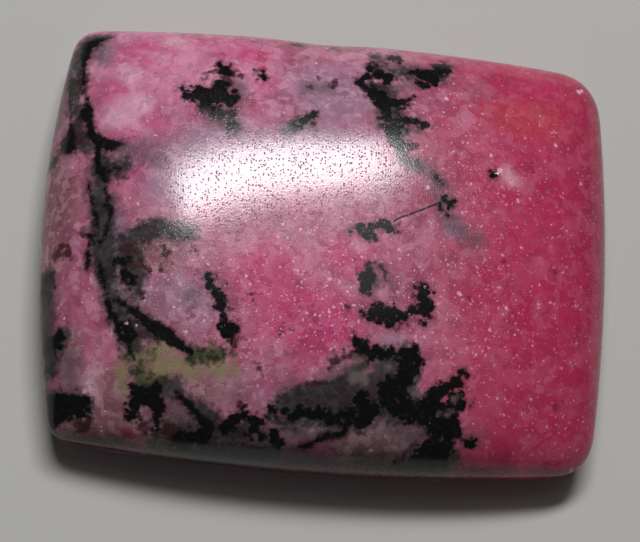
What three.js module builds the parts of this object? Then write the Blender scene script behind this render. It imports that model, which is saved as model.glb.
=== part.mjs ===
// Polished rhodonite: one domed cushion cabochon, rectangular in plan, with a flat back.
// Millimetres, +Z up, +X along the long side. The back lies on z = 0 and the middle of the
// stone's box is over the origin.
import * as THREE from 'three';

// Height of the stone, from the flat back up.
const BACK_BEVEL = 0.35;
const GIRDLE_HEIGHT = 1.9;
const CROWN_HEIGHT = 4.1;

// How far the side wall leans in below the girdle.
const WALL_DRAFT = 0.15;

// Fullness of the dome: 0 is an ellipsoid, more is flatter on top with a rounder shoulder.
const DOME_FULLNESS = 0.35;

// Plan of the girdle, anticlockwise from the front left. x and y are where the two sides would
// meet without the rounding, reach is how far along each side the rounding goes, and bulge is
// how far the side that starts there bows out from the straight line to the next corner.
const FRONT_LEFT = { x: -11.45, y: -9.1, reach: 0.8, bulge: 0.78 };
const FRONT_RIGHT = { x: 12.0, y: -8.95, reach: 1.7, bulge: 0.5 };
const BACK_RIGHT = { x: 12.0, y: 9.4, reach: 2.1, bulge: 0.38 };
const BACK_LEFT = { x: -11.5, y: 9.35, reach: 1.1, bulge: 1.02 };

// A shallow flat worn into the middle of the back side.
const WORN_FLAT = { x: -0.75, depth: 0.15, halfWidth: 1.7 };

// Cells of the dome's mesh along the stone and across it.
const CELLS_ALONG = 56;
const CELLS_ACROSS = 44;

// Dusky pink between the crimson and the milky parts of the stone.
const STONE_COLOUR = '#a5456c';
const STONE_ROUGHNESS = 0.2;

// A side from one corner to the next, bowed outwards.
function bowedSide(from, to) {
  const start = new THREE.Vector2(from.x, from.y);
  const end = new THREE.Vector2(to.x, to.y);
  const along = end.clone().sub(start).normalize();
  const outward = new THREE.Vector2(along.y, -along.x);
  const middle = start.clone().add(end).multiplyScalar(0.5);
  const control = middle.addScaledVector(outward, 2 * from.bulge);
  return new THREE.QuadraticBezierCurve(start, control, end);
}

// The piece of a quadratic curve between two of its parameters.
function pieceOf(curve, from, to) {
  const early = curve.v0.clone().lerp(curve.v1, from);
  const late = curve.v1.clone().lerp(curve.v2, from);
  const control = early.lerp(late, to);
  return new THREE.QuadraticBezierCurve(curve.getPoint(from), control, curve.getPoint(to));
}

// The rounding of a corner, from the side that ends there to the side that starts there.
function roundedCorner(corner, sideIn, sideOut) {
  const start = sideIn.getPointAt(1 - corner.reach / sideIn.getLength());
  const end = sideOut.getPointAt(corner.reach / sideOut.getLength());
  return new THREE.QuadraticBezierCurve(start, new THREE.Vector2(corner.x, corner.y), end);
}

// One side of the plan, from the middle of a rounded corner to the middle of the next.
function planSide(side, startRounding, endRounding, startCorner, endCorner) {
  const length = side.getLength();
  const path = new THREE.CurvePath();
  path.add(pieceOf(startRounding, 0.5, 1));
  path.add(pieceOf(side, startCorner.reach / length, 1 - endCorner.reach / length));
  path.add(pieceOf(endRounding, 0, 0.5));
  return path;
}

const frontCurve = bowedSide(FRONT_LEFT, FRONT_RIGHT);
const rightCurve = bowedSide(FRONT_RIGHT, BACK_RIGHT);
const backCurve = bowedSide(BACK_RIGHT, BACK_LEFT);
const leftCurve = bowedSide(BACK_LEFT, FRONT_LEFT);

const frontLeftRounding = roundedCorner(FRONT_LEFT, leftCurve, frontCurve);
const frontRightRounding = roundedCorner(FRONT_RIGHT, frontCurve, rightCurve);
const backRightRounding = roundedCorner(BACK_RIGHT, rightCurve, backCurve);
const backLeftRounding = roundedCorner(BACK_LEFT, backCurve, leftCurve);

const frontSide = planSide(frontCurve, frontLeftRounding, frontRightRounding, FRONT_LEFT, FRONT_RIGHT);
const rightSide = planSide(rightCurve, frontRightRounding, backRightRounding, FRONT_RIGHT, BACK_RIGHT);
const backSide = planSide(backCurve, backRightRounding, backLeftRounding, BACK_RIGHT, BACK_LEFT);
const leftSide = planSide(leftCurve, backLeftRounding, frontLeftRounding, BACK_LEFT, FRONT_LEFT);

// A point of the back side with the worn flat taken off it.
function backPoint(fraction) {
  const point = backSide.getPoint(1 - fraction);
  const offset = (point.x - WORN_FLAT.x) / WORN_FLAT.halfWidth;
  point.y -= WORN_FLAT.depth * Math.exp(-offset * offset);
  return point;
}

// The plan between its four sides (a Coons patch): a runs from left to right, b from front to back.
function planPoint(a, b) {
  const front = frontSide.getPoint(a);
  const back = backPoint(a);
  const left = leftSide.getPoint(1 - b);
  const right = rightSide.getPoint(b);
  const frontLeft = frontSide.getPoint(0);
  const frontRight = frontSide.getPoint(1);
  const backLeft = backPoint(0);
  const backRight = backPoint(1);
  return new THREE.Vector2()
    .addScaledVector(front, 1 - b)
    .addScaledVector(back, b)
    .addScaledVector(left, 1 - a)
    .addScaledVector(right, a)
    .addScaledVector(frontLeft, -(1 - a) * (1 - b))
    .addScaledVector(frontRight, -a * (1 - b))
    .addScaledVector(backLeft, -(1 - a) * b)
    .addScaledVector(backRight, -a * b);
}

// Cell lines crowd towards the edge, where the dome turns down fastest. From -1 to 1.
function cellLine(index, cells) {
  return Math.sin((Math.PI / 2) * ((2 * index) / cells - 1));
}

// Height of the dome at a place of the plan; u and v run from -1 to 1.
function domeHeight(u, v) {
  const arch = (t) => (1 - t * t) * (1 + DOME_FULLNESS * t * t);
  return GIRDLE_HEIGHT + CROWN_HEIGHT * Math.sqrt(arch(u) * arch(v));
}

function stoneGeometry() {
  const positions = [];
  const faces = [];
  const quad = (p, q, r, s) => faces.push(p, q, r, p, r, s);

  // The dome, a grid of cells over the plan.
  const domeVertex = (i, j) => j * (CELLS_ALONG + 1) + i;
  for (let j = 0; j <= CELLS_ACROSS; j += 1) {
    for (let i = 0; i <= CELLS_ALONG; i += 1) {
      const u = cellLine(i, CELLS_ALONG);
      const v = cellLine(j, CELLS_ACROSS);
      const point = planPoint((1 + u) / 2, (1 + v) / 2);
      positions.push(point.x, point.y, domeHeight(u, v));
    }
  }
  for (let j = 0; j < CELLS_ACROSS; j += 1) {
    for (let i = 0; i < CELLS_ALONG; i += 1) {
      quad(domeVertex(i, j), domeVertex(i + 1, j), domeVertex(i + 1, j + 1), domeVertex(i, j + 1));
    }
  }

  // The girdle: the rim of the dome, anticlockwise from the front left.
  const girdle = [];
  for (let i = 0; i < CELLS_ALONG; i += 1) {
    girdle.push(domeVertex(i, 0));
  }
  for (let j = 0; j < CELLS_ACROSS; j += 1) {
    girdle.push(domeVertex(CELLS_ALONG, j));
  }
  for (let i = CELLS_ALONG; i > 0; i -= 1) {
    girdle.push(domeVertex(i, CELLS_ACROSS));
  }
  for (let j = CELLS_ACROSS; j > 0; j -= 1) {
    girdle.push(domeVertex(0, j));
  }

  // A ring under the girdle, drawn in by the same amount on every side.
  const halfLength = (BACK_RIGHT.x - BACK_LEFT.x) / 2;
  const halfWidth = (BACK_RIGHT.y - FRONT_RIGHT.y) / 2;
  const ringBelow = (inset, height) => girdle.map((vertex) => {
    const x = positions[3 * vertex] * (1 - inset / halfLength);
    const y = positions[3 * vertex + 1] * (1 - inset / halfWidth);
    positions.push(x, y, height);
    return positions.length / 3 - 1;
  });
  const band = (lower, upper) => lower.forEach((vertex, n) => {
    const next = (n + 1) % lower.length;
    quad(vertex, lower[next], upper[next], upper[n]);
  });

  // The wall, the bevel round the back, and the flat back.
  const bevelTop = ringBelow(WALL_DRAFT, BACK_BEVEL);
  const backRim = ringBelow(WALL_DRAFT + BACK_BEVEL, 0);
  band(bevelTop, girdle);
  band(backRim, bevelTop);
  positions.push(0, 0, 0);
  const backMiddle = positions.length / 3 - 1;
  backRim.forEach((vertex, n) => faces.push(vertex, backMiddle, backRim[(n + 1) % backRim.length]));

  const geometry = new THREE.BufferGeometry();
  geometry.setAttribute('position', new THREE.Float32BufferAttribute(positions, 3));
  geometry.setIndex(faces);
  geometry.computeBoundingBox();
  const middle = geometry.boundingBox.getCenter(new THREE.Vector3());
  geometry.translate(-middle.x, -middle.y, 0);
  geometry.computeVertexNormals();
  return geometry;
}

const material = new THREE.MeshStandardMaterial({
  color: STONE_COLOUR,
  roughness: STONE_ROUGHNESS,
  metalness: 0,
});
const stone = new THREE.Mesh(stoneGeometry(), material);
stone.name = 'stone';

const part = new THREE.Group();
part.name = 'polished_rhodonite';
part.add(stone);

export default part;
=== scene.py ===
import math

import bpy
import numpy as np
from mathutils import Matrix, Vector


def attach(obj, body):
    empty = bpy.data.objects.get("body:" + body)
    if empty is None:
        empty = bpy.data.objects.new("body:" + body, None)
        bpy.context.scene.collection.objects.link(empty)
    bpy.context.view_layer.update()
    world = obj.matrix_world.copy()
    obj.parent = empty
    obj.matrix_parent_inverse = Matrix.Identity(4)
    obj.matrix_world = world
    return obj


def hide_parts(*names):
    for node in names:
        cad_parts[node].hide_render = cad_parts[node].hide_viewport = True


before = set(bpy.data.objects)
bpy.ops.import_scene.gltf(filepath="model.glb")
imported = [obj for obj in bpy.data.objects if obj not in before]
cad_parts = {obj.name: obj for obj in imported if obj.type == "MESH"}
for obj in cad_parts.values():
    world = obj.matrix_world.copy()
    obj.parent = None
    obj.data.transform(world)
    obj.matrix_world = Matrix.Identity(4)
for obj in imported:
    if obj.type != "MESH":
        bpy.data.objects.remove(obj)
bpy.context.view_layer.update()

MM = 0.001

# Shape of the stone, in millimetres.
GIRDLE_HEIGHT = 1.9
MERGE_DISTANCE = 0.001

# The flat back: the ring inside its edge, its cells, and how many cuts lie on each side of the
# middle one. Faces whose normal points lower than this belong to it.
BACK_EDGE_INSET = 0.3
BACK_CELL = 1.0
BACK_CUTS_ALONG = 11
BACK_CUTS_ACROSS = 8
BACK_MARK = 1
FACING_DOWN = -0.95

# How finely the dome is smoothed, and its middle part, which is divided once more.
SMOOTHING_LEVELS = 2
FINE_HALF_LENGTH = 9.7
FINE_HALF_WIDTH = 7.6
FINE_LOWEST = 3.0

# Markings are measured up to this far from their edges, in millimetres. A squared length is never
# taken as less than the second number, so that nothing is divided by 0.
FARTHEST = 0.8
LEAST_SQUARED = 1e-9

# How far the veins and the bright flecks drift along and across the stone for each millimetre
# below the girdle.
VEIN_SLANT = (1.5, -1.1)
GLINT_SLANT = (1.0, 1.0)

# Thin black veins. Each point is x, y and half the vein's width, in millimetres.
BLACK_VEINS = {
    "corner": [
        (-10.2, 8.85, 0.12), (-10.7, 8.65, 0.18), (-11.1, 8.35, 0.26), (-11.2, 7.95, 0.22),
        (-11.2, 7.6, 0.15), (-11.2, 7.25, 0.11), (-11.2, 6.8, 0.07), (-11.15, 6.4, 0.07),
        (-11.05, 5.8, 0.09), (-10.98, 5.4, 0.12), (-10.92, 4.9, 0.20), (-10.8, 4.3, 0.15),
        (-10.7, 3.85, 0.17), (-10.4, 3.55, 0.24), (-10.15, 3.4, 0.24),
    ],
    "corner knot": [(-11.12, 4.9, 0.20), (-10.95, 4.7, 0.22)],
    "corner side patch": [(-10.4, 3.55, 0.24), (-9.9, 3.3, 0.27), (-9.45, 3.35, 0.10)],
    "left strand": [
        (-11.7, 6.65, 0.18), (-11.72, 5.85, 0.06), (-11.65, 5.05, 0.05), (-11.6, 4.6, 0.05),
        (-11.6, 4.05, 0.13), (-11.65, 3.5, 0.26), (-11.6, 3.3, 0.24),
    ],
    "left strand foot": [(-12.15, 3.05, 0.10), (-12.3, 2.75, 0.12)],
    "middle": [
        (-10.4, 3.2, 0.17), (-10.35, 2.6, 0.15), (-10.25, 2.2, 0.16), (-10.1, 1.85, 0.16),
        (-9.95, 1.55, 0.10), (-9.95, 1.15, 0.09), (-9.85, 0.6, 0.08), (-9.7, 0.25, 0.10),
        (-9.72, -0.15, 0.08), (-9.85, -0.65, 0.10), (-10.0, -1.05, 0.15),
    ],
    "middle left line": [
        (-10.72, 1.6, 0.06), (-10.65, 1.2, 0.07), (-10.45, 0.65, 0.06), (-10.3, 0.05, 0.07),
        (-10.2, -0.4, 0.08),
    ],
    "middle knot": [(-10.5, -0.75, 0.08), (-10.4, -0.78, 0.10)],
    "middle lens": [(-10.45, -0.95, 0.10), (-10.5, -1.5, 0.10), (-10.48, -2.1, 0.13)],
    "short blur": [(-9.85, 2.2, 0.07), (-9.6, 2.2, 0.10), (-9.3, 2.3, 0.05)],
    "lower": [
        (-10.0, -2.0, 0.06), (-9.9, -2.35, 0.10), (-9.8, -2.7, 0.11), (-9.7, -3.1, 0.09),
        (-9.55, -3.5, 0.14), (-9.45, -3.9, 0.17), (-9.3, -4.25, 0.17), (-9.1, -4.6, 0.13),
        (-8.9, -5.0, 0.11), (-8.8, -5.2, 0.09), (-8.55, -5.5, 0.08), (-8.3, -5.95, 0.05),
    ],
    "lower wedge": [(-9.3, -3.6, 0.12), (-8.9, -3.72, 0.12)],
    "branch": [
        (-8.6, -3.95, 0.14), (-8.2, -4.22, 0.24), (-7.7, -4.58, 0.30), (-7.35, -4.80, 0.30),
        (-7.0, -5.0, 0.28), (-6.65, -5.28, 0.24), (-6.3, -5.48, 0.20), (-5.95, -5.62, 0.17),
    ],
    "top edge fleck": [(-2.15, 9.05, 0.10), (-1.85, 9.05, 0.10)],
    "top edge speck": [(-0.3, 9.05, 0.10), (-0.25, 9.0, 0.08)],
    "short bar": [(4.05, 2.85, 0.07), (4.4, 2.5, 0.08)],
    "ring arc": [
        (1.5, -1.3, 0.06), (1.8, -1.4, 0.07), (2.0, -1.7, 0.07), (2.02, -2.05, 0.06),
    ],
    "front thread": [
        (-1.0, -9.05, 0.09), (-0.65, -8.95, 0.12), (-0.25, -8.75, 0.15), (0.05, -8.6, 0.16),
        (0.5, -8.55, 0.15), (0.75, -8.35, 0.14), (0.95, -8.0, 0.16), (1.0, -7.55, 0.20),
    ],
    "front diagonal": [
        (-6.4, -7.3, 0.10), (-6.15, -7.5, 0.13), (-5.95, -7.7, 0.15), (-5.65, -7.9, 0.13),
        (-5.35, -8.1, 0.15), (-5.15, -8.4, 0.19), (-4.9, -8.55, 0.20),
    ],
    "front tick": [(-7.15, -8.0, 0.16), (-7.1, -8.4, 0.15), (-7.1, -8.65, 0.10)],
}

# Black patches with ragged, angular edges.
BLACK_PATCHES = {
    "top bar": [
        (-6.75, 5.75, 0.16), (-6.2, 5.62, 0.26), (-5.6, 5.68, 0.40), (-5.1, 5.72, 0.30),
        (-4.85, 5.8, 0.16),
    ],
    "top bar edge": [(-6.9, 5.95, 0.07), (-6.2, 5.98, 0.10), (-5.6, 6.0, 0.18)],
    "top neck": [(-5.45, 6.5, 0.20), (-5.35, 6.2, 0.26), (-5.35, 5.9, 0.30)],
    "top head": [(-5.35, 7.3, 0.15), (-5.15, 7.2, 0.14), (-5.0, 7.0, 0.10)],
    "top spot": [(-3.6, 6.97, 0.15), (-3.55, 7.05, 0.12)],
    "streak": [(-1.3, 5.18, 0.07), (-1.55, 5.0, 0.12), (-1.9, 4.85, 0.11)],
    "right stem": [
        (0.75, 7.0, 0.16), (1.0, 6.8, 0.25), (1.35, 6.6, 0.28), (1.75, 6.2, 0.34),
        (1.85, 5.75, 0.28), (1.9, 5.4, 0.24), (2.0, 5.0, 0.28), (2.2, 4.65, 0.34),
        (2.4, 4.35, 0.28), (2.5, 4.1, 0.14),
    ],
    "right stem branch": [(1.85, 6.15, 0.25), (2.25, 6.12, 0.16), (2.6, 6.2, 0.10), (2.95, 6.4, 0.11)],
    "right leaf": [(2.2, 5.05, 0.25), (2.75, 5.35, 0.23), (3.05, 5.35, 0.18), (3.6, 5.15, 0.13)],
    "right cap": [(0.8, 7.15, 0.14), (1.05, 7.5, 0.16), (1.15, 7.85, 0.16)],
    "right cap patch": [(1.5, 7.68, 0.26), (1.95, 7.55, 0.27)],
    "right top dash": [(2.2, 8.72, 0.11), (2.55, 8.7, 0.12)],
    "right bars": [(3.2, 7.85, 0.20), (3.5, 7.9, 0.27), (3.85, 7.75, 0.27), (4.0, 7.45, 0.22)],
    "right bars low": [(3.4, 7.42, 0.16), (3.75, 7.28, 0.16)],
    "right bars end": [(4.15, 7.95, 0.16), (4.35, 8.3, 0.22), (4.75, 8.45, 0.22)],
    "right bars bridge": [(4.0, 7.8, 0.20), (4.2, 8.0, 0.16)],
    "crack end": [(4.35, 1.72, 0.10), (4.7, 1.65, 0.12), (4.6, 1.35, 0.12)],
    "dotted": [
        (0.75, 0.02, 0.13), (1.0, 0.08, 0.20), (1.3, 0.25, 0.15), (1.6, 0.32, 0.13),
        (1.9, 0.42, 0.15), (2.25, 0.33, 0.14),
    ],
    "dotted low": [(1.0, -0.1, 0.15), (1.45, -0.12, 0.12)],
    "ring": [(1.3, -1.65, 0.18), (1.2, -2.05, 0.22), (1.2, -2.45, 0.17), (1.4, -2.65, 0.07)],
    "lens": [
        (1.2, -3.45, 0.10), (1.5, -3.45, 0.24), (2.0, -3.52, 0.34), (2.45, -3.58, 0.34),
        (2.8, -3.5, 0.22), (3.0, -3.4, 0.10),
    ],
    "block": [(3.65, -2.4, 0.27), (3.72, -2.8, 0.28), (3.8, -3.3, 0.22), (3.85, -3.6, 0.18)],
    "block dots": [(3.2, -3.35, 0.10), (3.5, -3.2, 0.13)],
    "dagger": [
        (-5.5, -2.35, 0.06), (-5.38, -2.6, 0.11), (-5.22, -2.9, 0.18), (-5.05, -3.25, 0.24),
        (-4.88, -3.6, 0.26), (-4.72, -3.95, 0.20),
    ],
    "dagger foot": [(-4.6, -4.4, 0.18), (-4.4, -4.75, 0.22)],
    "red diagonal": [
        (0.85, -4.6, 0.12), (1.05, -4.9, 0.20), (1.3, -5.1, 0.24), (1.6, -5.25, 0.22),
        (1.95, -5.25, 0.20), (2.5, -5.2, 0.22),
    ],
    "spike": [
        (3.4, -4.8, 0.16), (3.15, -5.2, 0.36), (3.3, -5.7, 0.40), (3.25, -6.3, 0.46),
        (3.25, -6.85, 0.42), (3.6, -7.15, 0.45), (4.2, -7.25, 0.50), (4.9, -7.3, 0.45),
        (5.35, -7.5, 0.24), (5.6, -7.6, 0.08),
    ],
    "spike side": [(3.1, -5.25, 0.30), (3.55, -5.3, 0.28)],
    "spike left": [(2.85, -6.5, 0.30), (2.45, -6.3, 0.22), (2.2, -6.7, 0.20)],
    "jagged": [
        (4.15, -6.95, 0.40), (4.5, -6.65, 0.32), (4.95, -6.3, 0.28), (5.35, -6.0, 0.18),
        (5.65, -5.65, 0.07),
    ],
    "jagged fork": [(5.2, -7.05, 0.22), (5.6, -6.75, 0.16), (6.0, -6.85, 0.08)],
    "jagged side": [(5.3, -6.6, 0.16), (5.65, -6.45, 0.12)],
    "jagged low": [(4.4, -7.6, 0.38), (5.05, -7.7, 0.26), (5.5, -7.75, 0.10)],
    "column": [(5.3, -7.6, 0.34), (5.4, -8.1, 0.36), (5.2, -8.6, 0.36), (5.2, -9.0, 0.30)],
    "column foot": [(4.7, -8.5, 0.28), (4.3, -8.85, 0.34), (4.9, -9.05, 0.30), (4.0, -9.2, 0.26)],
    "column side": [(4.55, -7.7, 0.30), (4.8, -8.15, 0.26)],
    "front right dash": [(5.95, -8.35, 0.10), (6.35, -8.35, 0.11)],
    "front left blob": [
        (-8.0, -8.1, 0.30), (-8.05, -7.85, 0.34), (-7.7, -7.5, 0.36), (-7.3, -7.45, 0.36),
        (-7.1, -7.9, 0.26),
    ],
    "front left stem": [(-8.35, -6.9, 0.10), (-8.25, -7.3, 0.14), (-8.1, -7.7, 0.22)],
    "front blob": [(-5.9, -9.1, 0.34), (-5.5, -8.9, 0.30), (-5.0, -8.7, 0.24)],
    "front blot": [(-4.3, -8.6, 0.22), (-3.8, -8.2, 0.22), (-3.65, -8.0, 0.16)],
    "front dot": [(-3.05, -8.2, 0.18), (-2.95, -8.6, 0.24), (-2.7, -8.7, 0.18)],
    "front bar": [(-2.3, -8.7, 0.14), (-2.0, -8.9, 0.12)],
    "slate end": [(-2.45, -7.75, 0.16), (-2.0, -7.85, 0.16)],
    "flank notch": [(-12.12, -2.4, 0.15), (-12.15, -3.3, 0.16)],
    "flank blotch": [(-11.45, -5.1, 0.22), (-11.75, -5.5, 0.30), (-11.95, -6.2, 0.34)],
    "flank black": [(-11.6, -7.75, 0.42), (-10.8, -7.8, 0.48), (-10.3, -7.9, 0.38)],
    "flank black foot": [(-11.4, -8.4, 0.32), (-11.0, -8.1, 0.34)],
    "small black": [(-9.15, -1.85, 0.13), (-9.05, -1.85, 0.11)],
    "blot core": [(-8.85, -2.55, 0.16), (-8.6, -2.55, 0.16), (-8.62, -2.95, 0.10)],
    "slate core": [(-8.75, -4.75, 0.18), (-8.65, -5.15, 0.22)],
    "front core": [(1.3, -7.1, 0.28), (1.8, -7.5, 0.34), (1.4, -7.9, 0.24)],
    "front shadow": [(-2.1, -7.9, 0.16), (-1.2, -7.8, 0.18), (-0.4, -7.8, 0.20), (0.5, -7.85, 0.24)],
    # Painted shade: a black dot in the pit at 6.7, 3.35.
    "right pit shade": [(6.68, 3.3, 0.09), (6.74, 3.32, 0.09)],
    "jagged root": [(5.2, -6.95, 0.28), (5.7, -7.0, 0.20)],
    "front edge blot": [(3.2, -9.4, 0.18), (3.9, -9.3, 0.22)],
    "cluster core": [(2.5, -6.7, 0.34), (2.6, -7.2, 0.36), (3.2, -7.4, 0.36)],
}

# Dark slate and smoke inside the stone, with soft edges.
SLATE = {
    "corner": [(-10.5, 8.9, 0.20), (-10.9, 8.6, 0.30), (-11.4, 8.2, 0.34), (-11.5, 7.2, 0.30)],
    "between strands": [
        (-11.4, 6.9, 0.28), (-11.4, 5.8, 0.26), (-11.3, 4.8, 0.28), (-11.3, 3.7, 0.36),
        (-11.0, 3.4, 0.36), (-10.6, 3.3, 0.30),
    ],
    "beside the vein": [
        (-10.3, 2.9, 0.26), (-10.15, 2.0, 0.30), (-10.25, 1.2, 0.34), (-10.05, 0.4, 0.40),
        (-9.95, -0.5, 0.45), (-9.9, -1.4, 0.60), (-9.75, -2.2, 0.45), (-9.6, -3.0, 0.30),
        (-9.2, -3.8, 0.35), (-8.85, -4.4, 0.42), (-8.6, -5.1, 0.40),
    ],
    "smear": [
        (-9.0, -1.6, 0.34), (-8.75, -1.1, 0.42), (-8.45, -0.65, 0.42), (-7.9, -0.5, 0.36),
        (-7.1, -0.55, 0.38), (-6.3, -0.6, 0.24),
    ],
    "brown mass": [
        (-9.05, -1.1, 0.36), (-8.7, -1.7, 0.52), (-8.55, -2.5, 0.52), (-8.3, -3.2, 0.28),
    ],
    "branch end": [(-6.2, -5.55, 0.18), (-5.7, -5.65, 0.20), (-5.2, -5.6, 0.14)],
    "wedge": [(-9.1, -4.2, 0.34), (-8.75, -4.7, 0.46), (-8.45, -5.2, 0.46), (-8.5, -5.8, 0.24)],
    "left foot": [(-12.1, -4.9, 0.30), (-12.0, -5.8, 0.34)],
    "front floor": [
        (-6.2, -9.3, 0.30), (-4.5, -9.4, 0.40), (-3.0, -9.4, 0.40), (-2.0, -9.4, 0.30),
    ],
    "cluster fill": [(2.4, -6.0, 0.70), (2.3, -6.9, 0.75), (2.9, -7.6, 0.40)],
    "cluster stem": [(3.2, -5.2, 0.60), (3.2, -6.8, 0.60)],
    "branch": [(-8.4, -4.6, 0.30), (-7.9, -5.0, 0.26), (-7.5, -5.05, 0.24)],
    "top tail": [(-6.3, 5.25, 0.18), (-5.5, 5.0, 0.32), (-4.9, 4.9, 0.34), (-4.9, 4.3, 0.26)],
    "streak tail": [(-1.95, 4.9, 0.16), (-2.25, 4.5, 0.20), (-2.4, 4.2, 0.18)],
    "right cap": [(1.4, 7.9, 0.30), (2.2, 7.8, 0.26), (3.2, 7.8, 0.30), (4.4, 7.9, 0.20)],
    "right cap top": [(1.35, 8.65, 0.12), (1.6, 8.6, 0.10)],
    "right stem": [
        (1.2, 7.0, 0.30), (1.9, 6.6, 0.36), (2.1, 5.8, 0.34), (2.3, 5.1, 0.38), (2.4, 4.5, 0.34),
    ],
    "ring core": [(1.45, -1.85, 0.22), (1.45, -2.3, 0.20)],
    "front cluster": [
        (2.3, -5.5, 0.60), (2.2, -6.2, 0.75), (1.7, -6.8, 0.80), (1.0, -7.0, 0.75),
        (0.2, -7.15, 0.80), (-0.8, -7.35, 0.70), (-1.7, -7.5, 0.55), (-2.2, -7.75, 0.35),
    ],
    "front cluster core": [(1.3, -7.3, 0.50), (1.9, -7.5, 0.42), (2.6, -6.9, 0.40)],
    "front cluster top": [(0.5, -6.5, 0.40), (1.4, -5.6, 0.26)],
    "front cluster right": [(4.2, -7.4, 0.60), (4.9, -8.2, 0.50), (4.9, -8.8, 0.36)],
    "front row": [
        (-6.6, -8.7, 0.34), (-5.8, -8.9, 0.42), (-4.9, -8.7, 0.38), (-4.0, -8.6, 0.34),
        (-3.0, -8.5, 0.34), (-2.4, -8.8, 0.26),
    ],
    "green mass": [(-5.9, -5.75, 0.28), (-5.2, -5.75, 0.30), (-4.7, -5.6, 0.22)],
    "wedge foot": [(-8.3, -5.3, 0.36), (-8.1, -5.6, 0.26)],
    "right stem foot": [(2.4, 4.3, 0.26), (2.6, 3.6, 0.26), (3.1, 3.2, 0.20)],
    "front left": [(-8.1, -6.5, 0.20), (-7.9, -7.2, 0.40), (-7.2, -7.2, 0.45), (-6.5, -7.1, 0.40)],
    "front left foot line": [(-5.9, -7.6, 0.22), (-5.3, -8.0, 0.40), (-4.8, -8.2, 0.36)],
    "front band": [(-2.3, -8.0, 0.26), (-1.2, -7.95, 0.34), (0.0, -8.0, 0.38), (1.2, -8.0, 0.45)],
    "upper left": [(-10.0, 2.4, 0.30), (-9.5, 2.1, 0.40), (-9.2, 2.3, 0.22)],
    "right edge line": [(4.2, -9.0, 0.45), (5.2, -9.1, 0.45), (5.7, -8.9, 0.30)],
    "flank": [(-11.2, -4.9, 0.28), (-11.6, -5.4, 0.42), (-11.85, -6.3, 0.45)],
    "flank low": [(-11.6, -7.8, 0.55), (-10.5, -7.85, 0.55), (-10.15, -7.9, 0.40)],
    "flank notch": [(-12.1, -2.2, 0.22), (-12.1, -3.5, 0.22)],
    "front left foot": [(-10.15, -8.6, 0.20), (-10.0, -8.62, 0.20)],
}
SMOKE = {
    "corner": [(-10.5, 8.5, 0.40), (-10.5, 7.7, 0.35)],
    "left edge": [(-12.0, 6.0, 0.34), (-12.1, 4.6, 0.34), (-11.8, 7.4, 0.30)],
    "beside the vein": [
        (-10.4, 2.2, 0.45), (-10.3, 1.0, 0.55), (-9.9, 0.0, 0.60), (-9.5, -1.0, 0.70),
        (-9.3, -2.2, 0.75), (-9.1, -3.2, 0.60), (-8.6, -3.5, 0.45),
    ],
    "between vein and highlight": [(-9.4, 3.1, 0.50), (-8.6, 2.9, 0.55), (-7.9, 2.6, 0.45)],
    "smear": [(-8.7, -1.0, 0.60), (-7.8, -0.5, 0.50), (-6.6, -0.4, 0.45)],
    "top tail": [(-5.6, 4.8, 0.50), (-4.8, 4.5, 0.50)],
    "top side": [(-4.9, 6.6, 0.34), (-4.6, 6.1, 0.36), (-4.5, 5.6, 0.30)],
    "streak tail": [(-1.6, 4.6, 0.24), (-2.3, 4.4, 0.34)],
    "right cap": [(1.7, 8.3, 0.34), (2.6, 8.1, 0.36), (3.4, 8.1, 0.36), (4.4, 7.9, 0.40)],
    "right stem": [(2.3, 7.0, 0.36), (2.7, 7.2, 0.34), (3.2, 7.3, 0.30)],
    "right group": [(1.5, 5.9, 0.24), (1.7, 4.9, 0.26), (3.0, 4.9, 0.34)],
    "above the dash": [(-1.5, 6.5, 0.34), (-0.6, 6.7, 0.26)],
    "ring core": [(1.7, -2.0, 0.34), (1.65, -2.2, 0.30)],
    "ring side": [(2.25, -1.9, 0.18), (2.3, -2.2, 0.16)],
    "front cluster": [(0.2, -5.9, 0.50), (1.0, -5.9, 0.50), (-0.6, -6.8, 0.45), (-1.8, -7.2, 0.45)],
    "front cluster right": [(2.4, -7.8, 0.50), (3.6, -8.0, 0.55), (4.0, -8.6, 0.45)],
    "haze": [(4.6, 1.2, 0.40), (4.9, 0.7, 0.40), (5.4, 0.3, 0.40), (6.1, 0.1, 0.30)],
    "haze top": [(3.6, 3.2, 0.30), (4.2, 2.4, 0.40), (4.5, 1.6, 0.40)],
    "soft spot": [(-6.3, -3.35, 0.34), (-6.1, -3.4, 0.30)],
    "front nodule": [(-6.5, -8.1, 0.45), (-6.0, -8.4, 0.34)],
    "front nodule right": [(-1.5, -8.5, 0.40), (-1.1, -8.5, 0.34)],
    "front right halo": [(5.8, -8.3, 0.28), (6.45, -8.2, 0.28)],
    "flank band": [(-10.9, -5.8, 0.34), (-10.9, -6.6, 0.36), (-10.8, -7.2, 0.34)],
    "front left corner": [(-11.3, -8.8, 0.34), (-10.5, -8.9, 0.34)],
    "front row": [(-7.0, -8.9, 0.40), (-5.0, -9.0, 0.50), (-3.0, -8.9, 0.50), (-1.8, -9.1, 0.40)],
}

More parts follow.
